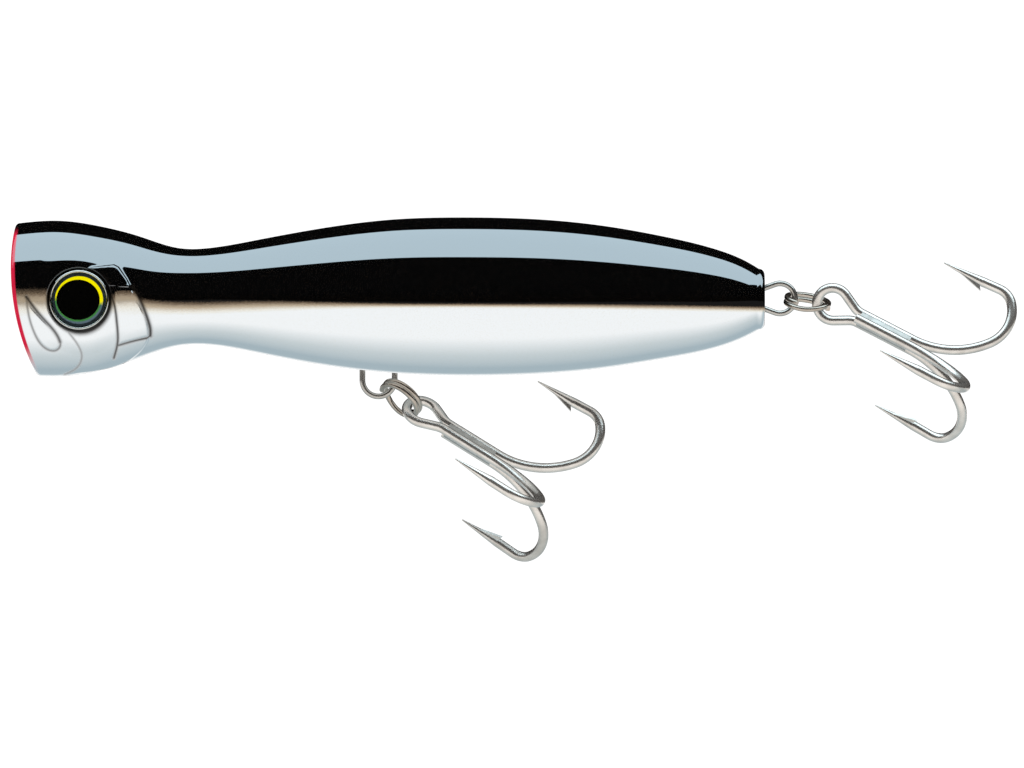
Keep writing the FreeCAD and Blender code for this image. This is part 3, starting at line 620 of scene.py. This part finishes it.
def body_half(side, name):
    """One moulded half of the body: its outside, its inner wall and the seam faces that join them."""
    columns, inner_columns = 200, 25
    theta = np.linspace(-math.pi / 2, math.pi / 2, columns)
    plain, inner, paint, skin = body_rows(theta)
    rows = moulded(plain, skin, np.cos(theta), np.sin(theta))
    count = len(rows)
    outer_points = np.moveaxis(rows, 1, 2).reshape(-1, 3)
    inner_theta = np.linspace(-math.pi / 2, math.pi / 2, inner_columns)
    inner_points = []
    for u, share in inner:
        radius = height_at(u) - WALL
        half_width = WIDTH_SHARE * height_at(u) - WALL
        inner_points.append(np.stack([
            np.full(inner_columns, u), share * half_width * np.cos(inner_theta),
            middle_at(u) * share + share * radius * np.sin(inner_theta)], axis=1))
    inner_points = np.concatenate(inner_points)
    points = np.concatenate([outer_points, inner_points])
    points[:, 0] -= LINE_TIE_STATION
    points[:, 1] = side * (np.maximum(points[:, 1], 0) + SEAM_GAP)
    outer_faces = grid_faces(count, columns)
    inner_start = count * columns
    inner_faces = grid_faces(count, inner_columns, inner_start)
    seams = []
    for outer_column, inner_column in ((0, 0), (columns - 1, inner_columns - 1)):
        i = np.arange(count - 1)
        a, b = i * columns + outer_column, (i + 1) * columns + outer_column
        c = inner_start + (i + 1) * inner_columns + inner_column
        d = inner_start + i * inner_columns + inner_column
        seams.append(np.stack([a, b, c, d], axis=1))
    faces = np.concatenate([outer_faces, inner_faces, *seams])
    piece = mesh_object(name, points * MM, faces)
    flat = np.ones(len(faces), bool)
    flat[len(outer_faces) + len(inner_faces) :] = False
    piece.data.polygons.foreach_set("use_smooth", flat)

    u, z = plain[:, 0].ravel(), plain[:, 2].ravel()
    # Painted shade in the moulded lines and the groove round the eye, kept off the area near the centre
    # plane.
    on_skin = np.repeat((np.arange(count) >= skin[0]) & (u.reshape(count, -1)[:, 0] < GROOVE_SHADE_END), columns)
    groove_shade = np.where(on_skin & (plain[:, 1].ravel() > GROOVE_SHADE_SIDE), head_groove_shade(u, z), 0.0)
    # The mouth's paint thins out at the top and the foot of the lip's outer face.
    on_lip = np.repeat(np.arange(count) >= skin[0] - LIP_OUTER_ROWS, columns) | (u < LIP_FRONT)
    lip_fade = smoothstep(*LIP_FADE_TOP, z) * smoothstep(*LIP_FADE_FOOT, z)
    values = {"back": back_paint(u, z), "groove_shade": groove_shade,
              "mouth": np.repeat(paint, columns) * np.where(on_lip, lip_fade, 1.0)}
    for key, value in values.items():
        everywhere = np.concatenate([value, np.zeros(len(inner_points))])
        attribute = piece.data.attributes.new(key, "FLOAT", "POINT")
        attribute.data.foreach_set("value", everywhere.astype(np.float32))
    clean_mesh(piece)
    return piece


def eye_rim(side, name):
    """The polished ring moulded round the eye."""
    profile = [
        (4.70, 10.9), (4.70, 12.30), (4.76, 12.55), (4.90, 12.68), (5.04, 12.62), (5.13, 12.42), (5.16, 10.9),
    ]
    segments = 128
    vertices, faces = [], []
    for k in range(segments):
        turn = 2 * math.pi * k / segments
        for radius, reach in profile:
            vertices.append((
                (EYE_STATION - LINE_TIE_STATION + radius * math.cos(turn)) * MM,
                side * reach * MM,
                (EYE_HEIGHT + radius * math.sin(turn)) * MM))
    count = len(profile)
    for k in range(segments):
        for j in range(count):
            a, b = k * count + j, k * count + (j + 1) % count
            c, d = (k + 1) % segments * count + (j + 1) % count, (k + 1) % segments * count + j
            faces.append((a, b, c, d))
    piece = mesh_object(name, vertices, faces)
    clean_mesh(piece)
    return piece


# ---- stage, light and camera ----------------------------------------------------------------------


def revolved(name, profile, material):
    """A sheet turned round an upright axis through the lure's middle, from (radius, height) points."""
    segments = 96
    turns = [2 * math.pi * k / segments for k in range(segments)]
    vertices = [(MIDDLE_X + r * math.cos(t), r * math.sin(t), z) for r, z in profile for t in turns]
    faces = []
    for row in range(len(profile) - 1):
        for k in range(segments):
            a, b = row * segments + k, row * segments + (k + 1) % segments
            faces.append((a, b, b + segments, a + segments))
    sheet = mesh_object(name, vertices, faces)
    sheet.data.materials.append(material)
    return sheet


def stage():
    """A pale floor, a pale dome over it, and the card that the lure reflects."""
    pale = pale_stage()
    floor = [(STAGE_HOLE, FLOOR_HEIGHT), (STAGE_RADIUS, FLOOR_HEIGHT)]
    dome = [(STAGE_RADIUS * math.cos(a), FLOOR_HEIGHT + STAGE_RADIUS * math.sin(a))
            for a in np.linspace(0, math.pi / 2, 25)]
    dome[-1] = (STAGE_HOLE, dome[-1][1])
    for sheet in (revolved("pale_floor", floor, pale), revolved("pale_dome", dome, pale)):
        sheet.visible_glossy = False
    left, right, height = MIDDLE_X - CARD_HALF_LENGTH, MIDDLE_X + CARD_HALF_LENGTH, FLOOR_HEIGHT + CARD_LIFT
    corners = [(left, CARD_NEAR), (right, CARD_NEAR), (right, CARD_FAR), (left, CARD_FAR)]
    card = mesh_object("reflected_card", [(x, y, height) for x, y in corners], [(0, 1, 2, 3)])
    card.data.materials.append(glowing_card())
    card.visible_camera = False
    card.visible_diffuse = False
    card.visible_shadow = False
    card.visible_transmission = False


def softbox(name, height, energy, colour, diffuse=True):
    """A wide lamp over the lure that shines straight down."""
    data = bpy.data.lights.new(name, "AREA")
    data.shape = "RECTANGLE"
    data.size, data.size_y = SOFTBOX_SIZE
    data.energy = energy
    data.color = colour
    lamp = bpy.data.objects.new(name, data)
    lamp.location = (MIDDLE_X, SOFTBOX_SIDE, height)
    lamp.visible_diffuse = diffuse
    bpy.context.scene.collection.objects.link(lamp)


def lights():
    world = bpy.data.worlds.new("studio")
    bpy.context.scene.world = world
    world.use_nodes = True
    background = world.node_tree.nodes["Background"]
    background.inputs["Color"].default_value = (0.85, 0.92, 1.0, 1.0)
    background.inputs["Strength"].default_value = 0.004
    softbox("softbox", SOFTBOX_HEIGHT, 2.6, (1.0, 1.0, 1.0))
    # Lies just under the first and only shows in reflections, as their blue-grey tint.
    softbox("softbox_gloss", SOFTBOX_HEIGHT - 0.002, 3.5, (0.47, 0.80, 1.0), diffuse=False)


def camera():
    data = bpy.data.cameras.new("camera")
    data.sensor_width = SENSOR_WIDTH
    data.lens = LENS
    distance = SHOT_WIDTH * LENS / SENSOR_WIDTH
    view = bpy.data.objects.new("camera", data)
    view.location = (SHOT_CENTRE[0], -distance, SHOT_CENTRE[1])
    view.rotation_euler = (math.pi / 2, 0, 0)
    bpy.context.scene.collection.objects.link(view)
    bpy.context.scene.camera = view
    bpy.context.scene.view_settings.view_transform = "Standard"


# ---- putting it together --------------------------------------------------------------------------


def paint_node(node, material):
    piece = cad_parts[node]
    if not piece.material_slots:
        piece.data.materials.append(material)
    for place in piece.material_slots:
        place.material = material


def build():
    camera()
    lights()
    stage()
    paint = lure_paint()
    chrome = metal("rim_chrome", (0.62, 0.60, 0.55), (0.78, 0.76, 0.70), 0.10, 0.18)
    for side, name in ((-1, "left"), (1, "right")):
        half = body_half(side, f"{name}_half")
        half.data.materials.append(paint)
        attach(half, BODY)
        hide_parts(f"{name}_shell")
        rim = eye_rim(side, f"{name}_eye_rim")
        rim.data.materials.append(chrome)
        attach(rim, BODY)
    steel = metal("drawn_steel", (0.41, 0.375, 0.335), (0.65, 0.60, 0.545), 0.20, 0.30, 500.0, 0.05, 0.94)
    nickel = metal("dark_nickel", (0.33, 0.265, 0.21), (0.61, 0.535, 0.46), 0.18, 0.28, 500.0, 0.06, 0.94)
    tin = metal("bright_tin", (0.60, 0.545, 0.49), (0.88, 0.81, 0.745), 0.20, 0.32, 450.0, 0.05, 0.90)
    solder = metal("tinned_solder", (0.34, 0.315, 0.285), (0.55, 0.52, 0.48), 0.28, 0.42, 700.0, 0.15, 0.9)
    polished = metal("ball_steel", (0.50, 0.50, 0.52), (0.66, 0.66, 0.68), 0.08, 0.15)
    plated = metal("magnet_plating", (0.55, 0.55, 0.57), (0.72, 0.72, 0.74), 0.12, 0.22)
    disc, lens = eye_print(), clear_lens()
    finish = {
        "line_tie_wire": steel, "tail_hanger_wire": steel, "belly_hanger_wire": steel,
        "holding_magnet": plated,
        "left_eye_disc": disc, "right_eye_disc": disc, "left_eye_lens": lens, "right_eye_lens": lens,
    }
    for number in (1, 2, 3):
        finish[f"weight_ball_{number}"] = polished
    for chain in ("belly", "tail"):
        finish[f"{chain}_split_ring"] = nickel
        finish[f"{chain}_double_hook"] = tin
        finish[f"{chain}_single_hook"] = tin
        finish[f"{chain}_shank_braze"] = solder
    for node, material in finish.items():
        paint_node(node, material)
        # Keeps the mirror images of the hooks, rings and hangers off the chrome.
        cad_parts[node].visible_glossy = not node.startswith(("belly", "tail"))


build()
